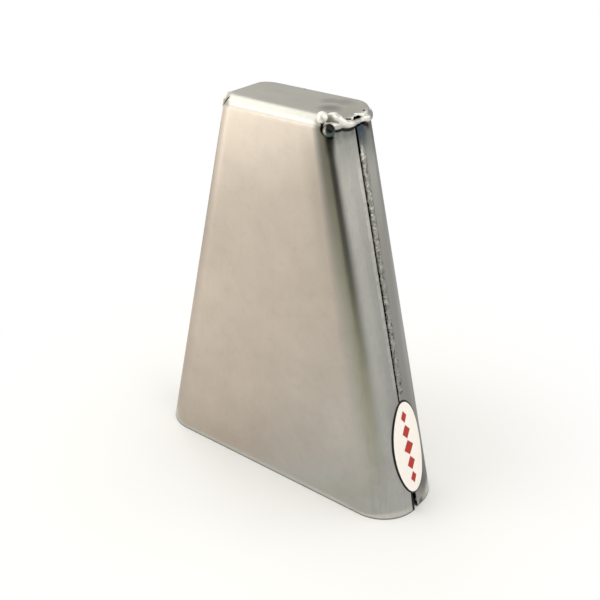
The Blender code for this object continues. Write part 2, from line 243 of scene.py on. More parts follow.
class SheetMesh:
    """A folded sheet: quads over its outside, the same over its inside, and the cut edges between them."""

    def __init__(self):
        self.bm = bmesh.new()
        self.twin = {}

    def row(self, outer, inner):
        made = [self.bm.verts.new(point) for point in outer]
        for vert, point in zip(made, inner):
            self.twin[vert] = self.bm.verts.new(point)
        return made

    def face(self, verts, turned):
        self.bm.faces.new(reversed(verts) if turned else verts)

    def strip(self, rows, turned):
        for low, high in zip(rows, rows[1:]):
            for index in range(len(low) - 1):
                self.face([low[index], low[index + 1], high[index + 1], high[index]], turned)

    def ring(self, low, high):
        """Quads between two closed rows that run by way of the front, facing out or up."""
        self.strip([low + low[:1], high + high[:1]], True)

    def close(self):
        outside = list(self.bm.faces)
        rim = [(loop.vert, loop.link_loop_next.vert) for face in outside for loop in face.loops
               if loop.edge.is_boundary]
        for face in outside:
            inside = self.bm.faces.new([self.twin[vert] for vert in reversed(face.verts)])
            inside.material_index = 1
        for first, second in rim:
            self.bm.faces.new((second, first, self.twin[first], self.twin[second]))


def new_object(name, data):
    made = bpy.data.objects.new(name, data)
    bpy.context.scene.collection.objects.link(made)
    return made


def finished_mesh(name, bm, materials):
    """The mesh as an object of the bell, shaded smooth."""
    mesh = bpy.data.meshes.new(name)
    bm.normal_update()
    bm.to_mesh(mesh)
    bm.free()
    mesh.shade_smooth()
    for material in materials:
        mesh.materials.append(material)
    return new_object(name, mesh)


def ease_edges(piece):
    """Takes the sharpness off a sheet's cut edges, as deburring does."""
    bevel = piece.modifiers.new("deburred edges", "BEVEL")
    bevel.width = EDGE_ROUND
    bevel.segments = EDGE_FACETS
    bevel.limit_method = "ANGLE"
    bevel.angle_limit = math.radians(EDGE_SHARP)
    shading = piece.modifiers.new("even shading", "WEIGHTED_NORMAL")
    shading.keep_sharp = True


STRIP_CORE = 0.35
BUMP_STRENGTH = 0.6


class Wire:
    """A shader socket that takes part in sums: each operator adds the Math node that it stands for."""

    def __init__(self, tree, socket):
        self.tree = tree
        self.socket = socket

    def node(self, kind, settings=None, inputs=None, output=0):
        """Adds a node of a kind: its settings first, then a value or a wire on each socket."""
        made = self.tree.nodes.new("ShaderNode" + kind)
        for name, value in (settings or {}).items():
            if name == "stops":
                self.set_stops(made.color_ramp.elements, value)
            else:
                setattr(made, name, value)
        for name, value in (inputs or {}).items():
            if isinstance(value, Wire):
                self.tree.links.new(value.socket, made.inputs[name])
            else:
                made.inputs[name].default_value = value
        return Wire(self.tree, made.outputs[output])

    def set_stops(self, ramp, stops):
        while len(ramp) < len(stops):
            ramp.new(1.0)
        for stop, (position, colour) in zip(ramp, stops):
            stop.position = position
            stop.color = colour

    def maths(self, operation, first, second):
        return self.node("Math", {"operation": operation}, {0: first, 1: second})

    def vectors(self, operation, first, second, output=0):
        return self.node("VectorMath", {"operation": operation}, {0: first, 1: second}, output)

    def __add__(self, other):
        return self.maths("ADD", self, other)

    __radd__ = __add__

    def __sub__(self, other):
        return self.maths("SUBTRACT", self, other)

    def __rsub__(self, other):
        return self.maths("SUBTRACT", other, self)

    def __mul__(self, other):
        return self.maths("MULTIPLY", self, other)

    __rmul__ = __mul__

    def __truediv__(self, other):
        return self.maths("DIVIDE", self, other)

    def __rtruediv__(self, other):
        return self.maths("DIVIDE", other, self)

    def __abs__(self):
        return self.maths("ABSOLUTE", self, 0.0)

    def over(self, low, high):
        """A mask, smooth from 0 at low to 1 at high. Low may be the larger of the two."""
        sockets = {"Value": self, "From Min": low, "From Max": high}
        return self.node("MapRange", {"interpolation_type": "SMOOTHSTEP"}, sockets)

    def blend(self, below, above):
        """A colour between two, with this value as the share of the second."""
        return self.node("Mix", {"data_type": "RGBA"}, {0: self, 6: below, 7: above}, 2)

    def stretched(self, x, y, z):
        """A place with each of its axes scaled."""
        return self.vectors("MULTIPLY", self, (x, y, z))

    def away_from(self, x, y, z):
        """The distance of a place from a point."""
        return self.vectors("DISTANCE", self, (x, y, z), 1)

    def away_from_line(self, start, stop):
        """The distance of a place from the straight line between two points."""
        span = Vector(stop) - Vector(start)
        offset = self.vectors("SUBTRACT", self, start)
        share = self.vectors("DOT_PRODUCT", offset, span / span.length_squared, 1)
        foot = self.vectors("MULTIPLY", span, self.node("Clamp", None, {0: share}))
        return self.vectors("DISTANCE", offset, foot, 1)

    def near_lines(self, lines):
        """A mask of the strips along lines, each a reach and the points that it runs through."""
        mask = 0.0
        for reach, points in lines:
            for start, stop in zip(points, points[1:]):
                strip = self.away_from_line(start, stop).over(reach, reach * STRIP_CORE)
                mask = self.maths("MAXIMUM", strip, mask)
        return mask

    def cloud(self, grain, detail=2.0, roughness=0.5):
        """Noise with patches about as big as the grain, from 0 to 1."""
        sockets = {"Vector": self, "Scale": 1 / grain, "Detail": detail, "Roughness": roughness}
        return self.node("TexNoise", None, sockets)

    def part(self, axis):
        """One coordinate of a place."""
        return self.node("SeparateXYZ", None, {0: self}, "XYZ".index(axis))


def new_material(name, metallic, specular=0.5):
    """A material, its shader, and the place on the piece in millimetres."""
    material = bpy.data.materials.new(name)
    material.use_nodes = True
    tree = material.node_tree
    shader = tree.nodes["Principled BSDF"]
    shader.inputs["Metallic"].default_value = metallic
    shader.inputs["Specular IOR Level"].default_value = specular
    place = Wire(tree, None).node("TexCoord", output="Object")
    return material, shader, place.stretched(1 / MM, 1 / MM, 1 / MM)


def new_finish(name, metallic, look, *details, specular=0.5):
    """A material from a look, which gives the colour, roughness, relief and its depth in mm at a place."""
    material, shader, place = new_material(name, metallic, specular)
    colour, roughness, relief, depth = look(place, *details)
    sockets = {"Height": relief, "Strength": BUMP_STRENGTH, "Distance": depth * MM}
    links = {"Base Color": colour, "Roughness": roughness, "Normal": relief.node("Bump", None, sockets)}
    for socket, wire in links.items():
        wire.tree.links.new(wire.socket, shader.inputs[socket])
    return material


STEEL_BRIGHT = (0.820, 0.810, 0.765, 1.0)
STEEL_PALE = (0.580, 0.573, 0.528, 1.0)
STEEL_DEEP = (0.525, 0.518, 0.474, 1.0)
STEEL_DULL = (0.399, 0.394, 0.356, 1.0)
HEAT_BLUE = (0.042, 0.068, 0.088, 1.0)
HEAT_BROWN = (0.075, 0.042, 0.032, 1.0)
# Heat scale, also used for painted shade under the welds.
HEAT_SCALE_AND_SHADE = (0.055, 0.065, 0.064, 1.0)
# Dark grey for painted shade, and for the scores on ground welds.
SOOT_AND_SHADE = (0.075, 0.080, 0.078, 1.0)
# Black for painted shade.
PAINTED_SHADE_BLACK = (0.012, 0.013, 0.012, 1.0)
# Places, reaches and heights in millimetres. A pair of heights is where a tint starts and where it is full,
# and a core is the share of a reach within which it is full.
# Painted shade in the crevices under and beside the welds and in the left slit; the last line is a small
# nick.
SHADE_AND_NICK_LINES = (
    (1.0, ((27.4, -17.6, 201.0), (28.4, -17.5, 200.2), (28.6, -18.0, 199.3), (28.5, -18.4, 198.2),
           (28.8, -18.5, 197.0), (29.5, -18.4, 196.0), (30.8, -18.0, 195.0))),
    (0.9, ((33.0, -14.2, 196.7), (33.5, -12.4, 196.5), (33.8, -9.6, 196.6))),
    (1.5, ((31.8, -17.0, 194.6), (32.5, -16.0, 194.2))),
    (1.1, ((33.8, -9.6, 196.6), (33.9, -8.2, 196.0), (34.0, -6.2, 195.5), (34.1, -4.2, 195.2),
           (34.1, -1.2, 195.3))),
    (0.8, ((34.1, 1.4, 195.4), (34.0, 3.8, 195.5))),
    (0.6, ((32.9, -5.7, 200.2), (33.1, -2.2, 199.4))),
    (1.2, ((34.0, 6.4, 195.4), (34.2, 7.9, 194.8), (34.3, 9.6, 194.2))),
    (0.5, ((32.4, 8.9, 200.6), (32.3, 10.0, 200.5))),
    (0.9, ((-27.6, -16.0, 201.7), (-28.0, -17.4, 200.5), (-29.3, -17.8, 198.5))),
    (0.7, ((-5.8, 14.6, 203.0), (-5.2, 14.6, 203.0))),
)
# Painted shade: soft dark spots where the crown's right end dips, and one at the foot of the right tack.
PAINTED_SHADE_SPOTS = (
    (22.6, -3.9, 203.0, 7.5, 0.55),
    (22.5, 8.0, 203.0, 7.0, 0.36),
    (15.5, 5.5, 203.0, 6.0, 0.36),
    (82.0, 2.0, 1.4, 3.0, 0.80),
)
SHADE_SPOT_CORE = 0.2
# A painted dark reflection up the corner bends, and a painted streak of shade under the drip.
CORNER_REFLECTION_LINE = ((32.6, 17.1, 189.0), (65.5, 19.3, 45.0))
UNDER_DRIP_SHADE_LINE = ((32.0, -16.8, 195.5), (33.4, -17.3, 184.0))
BURNT_SPOT = (34.4, 9.6, 193.8)
ON_CROWN = (201.0, 202.6)
UNDER_CROWN = (199.0, 197.0)
UNDER_WELD = (198.0, 196.5)
UNDER_SEAM_TOP = (197.0, 195.5)
SCALE_AND_SHADE_RISE = (172.0, 198.0)
SMOKE_AND_SHADE_RISE = (189.5, 194.5)
BLUE_RISE = (181.0, 194.0)
UNDER_DRIP_SHADE_RISE = (183.0, 193.5)
CORNER_REFLECTION_RISE = (70.0, 185.0)
BEND_SHADE_RISE = (105.0, 172.0)
BEND_SHADE_TOP = (200.0, 187.0)
SCRAPE_AND_SHEEN_RISE = (62.0, 74.0)
SCRAPE_AND_SHEEN_TOP = (188.0, 176.0)
SLIT_SPREAD = 2.2
SLIT_SPREAD_BEHIND = 0.65
SLIT_SPREAD_RISE = (34.0, 0.0)
# Heights of the painted shadow along the rim's foot.
RIM_SHADE = (1.0, 0.4)


def satin_steel(place):
    """Wiped satin sheet: cloudy, finely grained up its length and tinted by heat, with painted shade and
    highlights.
    """
    across, side, height = (place.part(axis) for axis in "XYZ")

    def at_height(at_mouth, at_crown):
        return taper(at_mouth / MM, at_crown / MM, height * MM)

    mottle = place.cloud(26.0, 4.0, 0.6)
    patches = place.cloud(3.0, 3.0)
    grain = place.stretched(1.0, 1.0, 0.05).cloud(0.45, 2.0)
    speck = place.cloud(0.7, 3.0, 0.65)
    streaks = place.stretched(1.0, 1.0, 0.02).cloud(3.2, 3.0)
    runs = place.stretched(1.0, 1.0, 0.4).cloud(1.7, 3.0, 0.6)
    scuffs = place.stretched(0.35, 1.0, 1.6).cloud(7.0, 4.0, 0.7).over(0.62, 0.78)
    blotches = place.cloud(7.0, 5.0, 0.65)
    bend = at_height(MOUTH_WIDTH / 2 - MOUTH_CORNER, CROWN_WIDTH / 2 - CROWN_CORNER)
    on_sides = (abs(across) - bend).over(4.0, 8.0)
    rubbed = place.stretched(1.0, 1.0, 0.06).cloud(1.6, 4.0, 0.65) * on_sides
    brushed = place.stretched(0.04, 1.0, 1.0).cloud(0.9, 3.0, 0.6) * height.over(*ON_CROWN)
    # Painted dark reflection: a dark line up each corner bend, fading towards the mouth.
    corner_dark_reflection = place.vectors("ABSOLUTE", place, (0.0, 0.0, 0.0)).away_from_line(*CORNER_REFLECTION_LINE).over(2.0, 0.4)
    # Painted shade: the front face darker towards its right-hand bend.
    beside_bend = (across - bend).over(-10.0, -1.0) * (across - bend).over(8.0, 3.0)
    bend_shade = beside_bend * side.over(-10.0, -14.0) * height.over(*BEND_SHADE_RISE) * height.over(*BEND_SHADE_TOP)
    seam = side - at_height(SEAM_AT_MOUTH, SEAM_AT_CROWN)
    behind_seam = seam.over(1.0, 3.0) * seam.over(14.0, 9.0) * height.over(*UNDER_CROWN)
    # Partly scraped patches, partly a painted highlight along the front sheet's edge beside the slit.
    scrapes_and_sheen = seam.over(-3.4, -2.2) * seam.over(0.0, -0.5) * patches.over(0.30, 0.62)
    scrapes_and_sheen = scrapes_and_sheen * height.over(*SCRAPE_AND_SHEEN_RISE) * height.over(*SCRAPE_AND_SHEEN_TOP)
    below_weld = height.over(*UNDER_WELD) * side.over(-17.0, -13.0) * side.over(21.0, 18.0)
    # Partly heat scale, partly painted shade: the sides darker below the crown's welds, more on the rear
    # sheet.
    scaled = height.over(*SCALE_AND_SHADE_RISE) * below_weld * (0.6 + patches * 0.8)
    scaled = scaled * (0.42 + side.over(0.0, 2.0) * 0.3)
    # Partly heat tint, partly painted shade just under the welds on the front sheet.
    smoke_and_shade = height.over(*SMOKE_AND_SHADE_RISE) * below_weld * side.over(0.0, -2.0)
    blued = height.over(*BLUE_RISE) * height.over(*UNDER_WELD) * side.over(0.4, 1.2) * side.over(10.5, 4.5)
    burnt = place.away_from(*BURNT_SPOT).over(2.4, 0.8)
    # Painted shade and dark reflection: a black streak down the corner under the drip.
    shade_and_dark_reflection = place.away_from_line(*UNDER_DRIP_SHADE_LINE).over(3.5, 1.0) * height.over(*UNDER_DRIP_SHADE_RISE)
    # Painted shade: the slit and the sheets' edges beside it are black, the strip wider where the mouth
    # gapes.
    spread = height.over(*SLIT_SPREAD_RISE) * SLIT_SPREAD
    past_slit = seam - at_height(SEAM_GAP_LOW, SEAM_GAP_HIGH) - spread * SLIT_SPREAD_BEHIND
    slit_shade = (seam + spread).over(-0.30, 0.0) * past_slit.over(0.40, 0.10) * height.over(*UNDER_SEAM_TOP)
    layers = [
        (streaks.over(0.45, 0.8) * 0.30, STEEL_DEEP),
        (blotches.over(0.48, 0.72) * 0.20, STEEL_DULL),
        (speck.over(0.50, 0.75) * 0.22, STEEL_DULL),
        (rubbed.over(0.46, 0.72) * 0.28, STEEL_DULL),
        (brushed.over(0.48, 0.75) * 0.35, STEEL_DULL),
        (behind_seam * (0.45 + mottle * 0.5), STEEL_DULL),
        (scrapes_and_sheen * 0.6, STEEL_BRIGHT),
    ]
    # Painted shade spots.
    for x, y, z, reach, share in PAINTED_SHADE_SPOTS:
        layers.append((place.away_from(x, y, z).over(reach, reach * SHADE_SPOT_CORE) * share, SOOT_AND_SHADE))
    layers += [
        (scaled, HEAT_SCALE_AND_SHADE),
        (smoke_and_shade * (0.2 + patches * 0.5), HEAT_SCALE_AND_SHADE),
        (blued * (0.55 + runs * 0.8), HEAT_BLUE),
        (burnt * 0.75, HEAT_BROWN),
        (shade_and_dark_reflection * 0.88, PAINTED_SHADE_BLACK),
        (corner_dark_reflection * height.over(*CORNER_REFLECTION_RISE) * 0.55, SOOT_AND_SHADE),
        (bend_shade * 0.62, STEEL_DULL),
        # Painted shade along the crevices.
        (place.near_lines(SHADE_AND_NICK_LINES), PAINTED_SHADE_BLACK),
        (slit_shade, PAINTED_SHADE_BLACK),
        # Painted shadow along the foot of the rim.
        (height.over(*RIM_SHADE) * 0.7, SOOT_AND_SHADE),
    ]
    colour = mottle.over(0.25, 0.75).blend(STEEL_DEEP, STEEL_PALE)
    for mask, tint in layers:
        colour = mask.blend(colour, tint)
    roughness = 0.26 + mottle * 0.05 + speck * 0.05 + scuffs * 0.08 + scaled * 0.08
    relief = grain * 0.6 + speck * 0.4 + scuffs * 0.3
    return colour, roughness, relief, 0.02


INSIDE_SCALE = (0.210, 0.195, 0.175, 1.0)
INSIDE_RUST = (0.170, 0.105, 0.065, 1.0)
INSIDE_METALLIC = 0.85


def unwiped_steel(place):
    """The sheet's inside, still dull with mill scale, with a little rust in patches."""
    patches = place.cloud(18.0, 5.0, 0.65)
    specks = place.cloud(1.1, 3.0, 0.7)
    colour = patches.over(0.3, 0.75).blend(INSIDE_SCALE, STEEL_DULL)
    colour = ((specks * patches).over(0.34, 0.48) * 0.6).blend(colour, INSIDE_RUST)
    roughness = 0.48 + patches * 0.12 + specks * 0.08
    return colour, roughness, specks, 0.05


sheet_finishes = [
    new_finish("satin sheet steel", 1.0, satin_steel),
    new_finish("unwiped sheet steel", INSIDE_METALLIC, unwiped_steel),
]

front = SheetMesh()
right_end, front_edge, back_edge = crown_columns()
columns = right_end + front_edge + back_edge
shoulders = []
for step in range(BEND_STEPS + 1):
    share = 1 - step / BEND_STEPS
    outer, inner = ([shoulder_point(column, share, depth) for column in columns] for depth in (0.0, SHEET))
    shoulders.append(front.row(outer, inner))
for low, high in zip(shoulders, shoulders[1:]):
    front.ring(low, high)

ring = shoulders[-1]
crown_middle = (max(vert.co.x for vert in ring) + min(vert.co.x for vert in ring)) / 2
crown_edge = [Vector((vert.co.x - crown_middle, vert.co.y, 0.0)) for vert in ring]
for share in CROWN_RINGS:
    outer = []
    for spot in crown_edge:
        x, y = crown_middle + spot.x * share, spot.y * share
        wave = noise.noise(Vector((x / FACE_WAVE_RUN, y / FACE_WAVE_RUN, CROWN_WAVE_ROW))) - 1
        outer.append(Vector((x, y, BELL_HEIGHT + CROWN_WAVE * (1 - share**2) ** 2 * wave)))
    inside_ring = front.row(outer, [point - Vector((0, 0, SHEET)) for point in outer])
    front.ring(ring, inside_ring)
    ring = inside_ring
front.face(ring, True)

front_rows = []
for step in range(WALL_STEPS + 1):
    outer, inner = wall_faces(step, BEND_FOOT, front_seam_edge, -1)
    if step < WALL_STEPS:
        front_rows.append(front.row(outer, inner))
right_top = front.row(outer[:SIDE_STEPS], inner[:SIDE_STEPS])
left_top = front.row(outer[-SIDE_STEPS:], inner[-SIDE_STEPS:])
shared_top = shoulders[0][len(right_end) : len(right_end) + len(front_edge)]
front.strip(front_rows + [right_top + shared_top + left_top], True)
front.close()
front_sheet = finished_mesh("front_sheet", front.bm, sheet_finishes)
ease_edges(front_sheet)
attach(front_sheet, "root")
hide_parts("front_shell")

# The rear sheet
# A second blank of the same steel, folded into the rear face and the rear half of both sides.
# Its edges stand a little off the front sheet's, and the weld beads hold the two together.
rear = SheetMesh()
rear_rows = []
for step in range(WALL_STEPS + 1):
    rear_rows.append(rear.row(*wall_faces(step, FLANGE_TOP, rear_seam_edge, 1)))
rear.strip(rear_rows, False)
rear.close()
rear_sheet = finished_mesh("rear_sheet", rear.bm, sheet_finishes)
ease_edges(rear_sheet)
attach(rear_sheet, "root")
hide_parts("rear_shell")

# The seam welds
# A bead of weld metal down each side, laid by hand on the rear sheet's edge in one shaky run.
# It froze in a low crust of pebbles, bright where they were brushed and dark in the dents between them.
SEAM_BEAD = 1.8 * MM
SEAM_BEAD_SINK = 0.45 * MM
SEAM_BEAD_SHIFT = 3.35 * MM
CRUST_BEAD = 2.25 * MM
CRUST_FLAT = 0.50
RUN_OUT = 0.62
RUN_OUT_START = 182 * MM
RUN_OUT_STOP = 187 * MM
ROOT_BEAD = 1.0 * MM
ROOT_SINK = 1.5 * MM
ROOT_BELOW = 9 * MM
SEAM_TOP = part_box("right_seam_weld")[1].z
RIGHT_SEAM_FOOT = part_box("right_seam_weld")[0].z
LEFT_SEAM_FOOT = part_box("left_seam_weld")[0].z
BEAD_STEP = 0.4 * MM
BEAD_FACETS = 18
CAP_STEPS = 6
SWELL_ROW = 5.3
SWELL_TURN = 20 * MM
RIPPLE_BOW = 0.35

Lumps = namedtuple("Lumps", "swell swell_run pebble pebble_run ripple ripple_pitch")
Pit = namedtuple("Pit", "x y z reach depth")


def side_point(girth, height, lift):
    """A point on the right side at a distance round it from the middle, negative towards the front."""
    half_width, half_depth, corner = section(height)
    flat = half_depth - corner
    if abs(girth) <= flat:
        return Vector((half_width + lift, girth, height))
    angle = math.degrees((abs(girth) - flat) / corner)
    return corner_point(math.copysign(1, girth), angle, height, lift)


def smooth_run(points, radii):
    """A smooth curve through points, cut into even short steps, with a radius at each."""
    places, sizes = [], []
    last = len(points) - 1
    for index in range(last):
        before, start = points[max(index - 1, 0)], points[index]
        stop, after = points[index + 1], points[min(index + 2, last)]
        count = max(1, round((stop - start).length / BEAD_STEP))
        for step in range(count):
            t = step / count
            bow = (stop - before) * t + (2 * before - 5 * start + 4 * stop - after) * t**2
            bow += (3 * start - before - 3 * stop + after) * t**3
            places.append(start + bow / 2)
            sizes.append(radii[index] + (radii[index + 1] - radii[index]) * t)
    return places + [points[-1]], sizes + [radii[-1]]


def rounded_ends(places, sizes):
    """The run's places and radii, with the steps of a rounded cap before and after them."""
    caps = []
    for index, beyond in ((0, 1), (-1, -2)):
        along = (places[index] - places[beyond]).normalized()
        cap = []
        for step in range(1, CAP_STEPS):
            out = math.sin(math.pi / 2 * step / CAP_STEPS)
            radius = sizes[index] * math.sqrt(1 - out * out)
            cap.append((places[index] + along * sizes[index] * out, radius))
        caps.append(cap)
    return caps[0][::-1] + list(zip(places, sizes)) + caps[1]


def join_rings(bm, rings):
    """Quads between closed rings, each with the next."""
    for low, high in zip(rings, rings[1:]):
        for index in range(len(low)):
            after = (index + 1) % len(low)
            bm.faces.new((low[index], low[after], high[after], high[index]))


def lay_weld(bm, points, radii, outward, lumps, pits=(), flat=1.0):
    """Adds a run of weld metal along points: round or flattened, lumpy and rippled, with rounded ends."""
    line = rounded_ends(*smooth_run(points, radii))
    rings = []
    run = 0.0
    for index, (place, radius) in enumerate(line):
        before, after = line[max(index - 1, 0)][0], line[min(index + 1, len(line) - 1)][0]
        ahead = (after - before).normalized()
        out = (outward - ahead * outward.dot(ahead)).normalized()
        across = ahead.cross(out)
        run += (place - before).length
        ring = []
        for facet in range(BEAD_FACETS):
            turn = 2 * math.pi * facet / BEAD_FACETS
            ray = out * math.cos(turn) * flat + across * math.sin(turn)
            spot = place + ray * radius
            swell_place = Vector((run / lumps.swell_run, spot.z / SWELL_TURN, SWELL_ROW))
            swell = lumps.swell * noise.noise(swell_place)
            pebble = lumps.pebble * noise.noise(spot / lumps.pebble_run)
            bowed = run - RIPPLE_BOW * radius * math.cos(turn)
            ripple = lumps.ripple * math.sin(2 * math.pi * bowed / lumps.ripple_pitch)
            spot = place + ray * (radius * (1 + swell) + min(radius / SEAM_BEAD, 1.0) * (pebble + ripple))
            for pit in pits:
                near = 1 - (spot - Vector(pit[:3]) * MM).length / (pit.reach * MM)
                if near > 0:
                    spot -= ray.normalized() * pit.depth * MM * near * near * (3 - 2 * near)
            ring.append(bm.verts.new(spot))
        rings.append(ring)
    join_rings(bm, rings)
    bm.faces.new(reversed(rings[0]))
    bm.faces.new(rings[-1])
    bmesh.ops.recalc_face_normals(bm, faces=bm.faces)


def weld_run(name, points, radii, outward, lumps, finish, flat=1.0):
    """A piece that is one run of weld."""
    bm = bmesh.new()
    lay_weld(bm, points, radii, outward, lumps, flat=flat)
    return finished_mesh(name, bm, [finish])


CRUST_PALE = (0.560, 0.553, 0.512, 1.0)
CRUST_GREY = (0.370, 0.364, 0.330, 1.0)
WELD_PIT = (0.050, 0.048, 0.043, 1.0)
CRUST_BLUE_RISE = (182.0, 194.0)


def crusted_weld(place):
    """Thin weld crust: much like the sheet, with brushed bright specks and dark dents."""
    lumps = place.cloud(1.6, 3.0, 0.6)
    fine = place.cloud(0.4, 2.0)
    dents = place.stretched(1.0, 1.0, 0.7).cloud(1.9, 2.0).over(0.46, 0.36)
    colour = lumps.over(0.45, 0.70).blend(CRUST_GREY, CRUST_PALE)
    colour = (dents * 0.6).blend(colour, WELD_PIT)
    blued = place.part("Z").over(*CRUST_BLUE_RISE)
    colour = (blued * 0.85).blend(colour, HEAT_BLUE)
    roughness = 0.30 + lumps * 0.12 + fine * 0.08 + dents * 0.2
    return colour, roughness, lumps * 0.7 + fine * 0.3, 0.08


def root_in_slit_shade(place):
    """The weld's root down in the slit: near black as painted shade of the slit, a little greyer on its
    lumps.
    """
    lumps = place.cloud(0.9, 3.0, 0.6)
    colour = lumps.over(0.50, 0.80).blend(PAINTED_SHADE_BLACK, WELD_PIT)
    return colour, 0.50 + lumps * 0.20, lumps, 0.08


seam_metals = [new_finish("crusted weld", 1.0, crusted_weld), new_finish("weld root in painted slit shade", 1.0, root_in_slit_shade)]
SEAM_LUMPS = Lumps(0.16, 3.1 * MM, 0.36 * MM, 1.05 * MM, 0.05 * MM, 1.6 * MM)
ROOT_LUMPS = Lumps(0.08, 3.1 * MM, 0.12 * MM, 1.3 * MM, 0.0, 1.6 * MM)
RIGHT = Vector((1.0, 0.0, 0.0))
SEAM_SPOTS = 40


def seam_points(foot, top):
    """Points up the middle of the right seam's bead."""
    points = []
    for step in range(SEAM_SPOTS + 1):
        height = foot + SEAM_BEAD + (top - foot - 2 * SEAM_BEAD) * step / SEAM_SPOTS
        x = section(height).half_width - SEAM_BEAD_SINK
        y = taper(SEAM_AT_MOUTH, SEAM_AT_CROWN, height) + SEAM_BEAD_SHIFT
        points.append(Vector((x, y, height)))
    return points


def bead_share(height):
    """The bead's share of its full size, which it loses where the run ends below the crown."""
    ended = min(max((height - RUN_OUT_START) / (RUN_OUT_STOP - RUN_OUT_START), 0.0), 1.0)
    return 1 - RUN_OUT * ended


def root_points(foot):
    """Points up the right slit, between the sheets' edges and below their outer faces."""
    points = []
    top = FLANGE_TOP - 2 * ROOT_BEAD
    for step in range(SEAM_SPOTS + 1):
        height = foot + (top - foot) * step / SEAM_SPOTS
        middle = (front_seam_edge(height) + rear_seam_edge(height)) / 2
        points.append(Vector((section(height).half_width - ROOT_SINK, middle, height)))
    return points


for name, node, foot, side in (
    ("right_seam_bead", "right_seam_weld", RIGHT_SEAM_FOOT, 1),
    ("left_seam_bead", "left_seam_weld", LEFT_SEAM_FOOT, -1),
):
    bead_bm = bmesh.new()
    crust_path, root_path = seam_points(foot, SEAM_TOP), root_points(foot - ROOT_BELOW)
    if side < 0:
        crust_path, root_path = mirrored(crust_path), mirrored(root_path)
    radii = [CRUST_BEAD * bead_share(point.z) for point in crust_path]
    lay_weld(bead_bm, crust_path, radii, RIGHT * side, SEAM_LUMPS, flat=CRUST_FLAT)
    crust_faces = len(bead_bm.faces)
    # The root, near black, stands in for the shade down in the slit.
    lay_weld(bead_bm, root_path, [ROOT_BEAD] * len(root_path), RIGHT * side, ROOT_LUMPS)
    for face in list(bead_bm.faces)[crust_faces:]:
        face.material_index = 1
    bead = finished_mesh(name, bead_bm, seam_metals)
    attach(bead, "root")
    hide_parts(node)

# The tacks at the mouth
# A short weld beside each seam just above the rim, which keeps the mouth from springing open.
# It was ground down nearly level, so it is flatter than the other welds and scored by the wheel.
TACK_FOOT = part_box("right_mouth_tack")[0].z
TACK_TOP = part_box("right_mouth_tack")[1].z
TACK_BEAD = 1.5 * MM
TACK_TIP = 0.72
TACK_FLAT = 0.45
TACK_LUMPS = Lumps(0.06, 2.0 * MM, 0.10 * MM, 1.0 * MM, 0.03 * MM, 0.7 * MM)


def ground_weld(place):
    """Weld dressed with a grinding wheel: bright, with scores across it."""
    scores = place.stretched(0.15, 0.15, 1.0).cloud(0.32, 3.0, 0.7)
    patches = place.cloud(3.0, 3.0)
    colour = patches.over(0.3, 0.7).blend(STEEL_DULL, STEEL_DEEP)
    colour = (scores.over(0.48, 0.66) * 0.8).blend(colour, SOOT_AND_SHADE)
    roughness = 0.28 + scores * 0.18
    return colour, roughness, scores, 0.05


ground_metal = new_finish("ground weld", 1.0, ground_weld)
tack_path = seam_points(TACK_FOOT, TACK_TOP)
tack_radii = []
for step in range(SEAM_SPOTS + 1):
    middle_share = math.sin(math.pi * step / SEAM_SPOTS)
    tack_radii.append(TACK_BEAD * (TACK_TIP + (1 - TACK_TIP) * middle_share))
for name, node, path, outward in (
    ("right_tack", "right_mouth_tack", tack_path, RIGHT),
    ("left_tack", "left_mouth_tack", mirrored(tack_path), -RIGHT),
):
    tack = weld_run(name, path, tack_radii, outward, TACK_LUMPS, ground_metal, flat=TACK_FLAT)
    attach(tack, "root")
    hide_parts(node)

# The rolls of weld at the crown's ends
# A run of weld closes each end of the crown on the sides. The right one starts in a hump at the front
# corner, sags to the side and runs back, smooth and bright. The left one is a thin lip.
RIGHT_ROLL = [
    (-17.2, 201.6, -2.3, 1.9),
    (-15.6, 201.9, -1.8, 2.0),
    (-14.0, 202.4, -1.5, 2.1),
    (-12.4, 202.2, -1.2, 2.25),
    (-10.5, 200.9, -0.9, 2.2),
    (-8.4, 199.3, -0.6, 2.0),
    (-5.6, 197.9, -0.5, 1.8),
    (-2.0, 197.2, -0.5, 1.6),
    (1.8, 197.1, -0.5, 1.3),
    (5.0, 197.1, -0.5, 1.0),
    (7.4, 197.3, -0.5, 1.2),
]
LEFT_ROLL = [
    (-16.6, 197.7, 0.0, 0.9),
    (-16.4, 199.0, 0.0, 1.1),
    (-15.8, 200.3, -0.2, 1.3),
    (-14.0, 200.9, -0.5, 1.6),
    (-11.0, 200.6, -0.7, 2.0),
    (-7.5, 200.0, -0.7, 2.2),
    (-4.0, 199.2, -0.6, 2.2),
    (0.0, 198.5, -0.5, 2.1),
    (3.5, 198.1, -0.5, 2.0),
    (7.4, 197.9, -0.5, 1.9),
]
ROLL_LUMPS = Lumps(0.05, 5.0 * MM, 0.14 * MM, 2.2 * MM, 0.03 * MM, 1.1 * MM)
RIGHT_PITS = [
    Pit(33.2, -5.8, 199.6, 1.1, 0.9),
    Pit(33.0, 0.6, 199.0, 1.0, 0.5),
]
# Painted shade on the right roll: the saddle beside the ball and a few other stretches.
RIGHT_SHADE_SPOTS = (
    (30.3, -16.0, 202.2, 3.4, 0.92),
    (31.8, -15.6, 200.4, 3.0, 0.92),
    (33.2, -13.6, 199.4, 2.6, 0.92),
    (33.2, -12.0, 203.4, 1.8, 0.45),
    (34.4, 2.0, 197.8, 4.8, 0.62),
)
ROLL_BRIGHT = (0.950, 0.933, 0.880, 1.0)
ROLL_GREY = (0.800, 0.787, 0.738, 1.0)
ROLL_SHADE = (0.260, 0.252, 0.230, 1.0)
ROLL_METALLIC = 0.6
SHADE_CORE = 0.4
PIT_CORE = 0.5


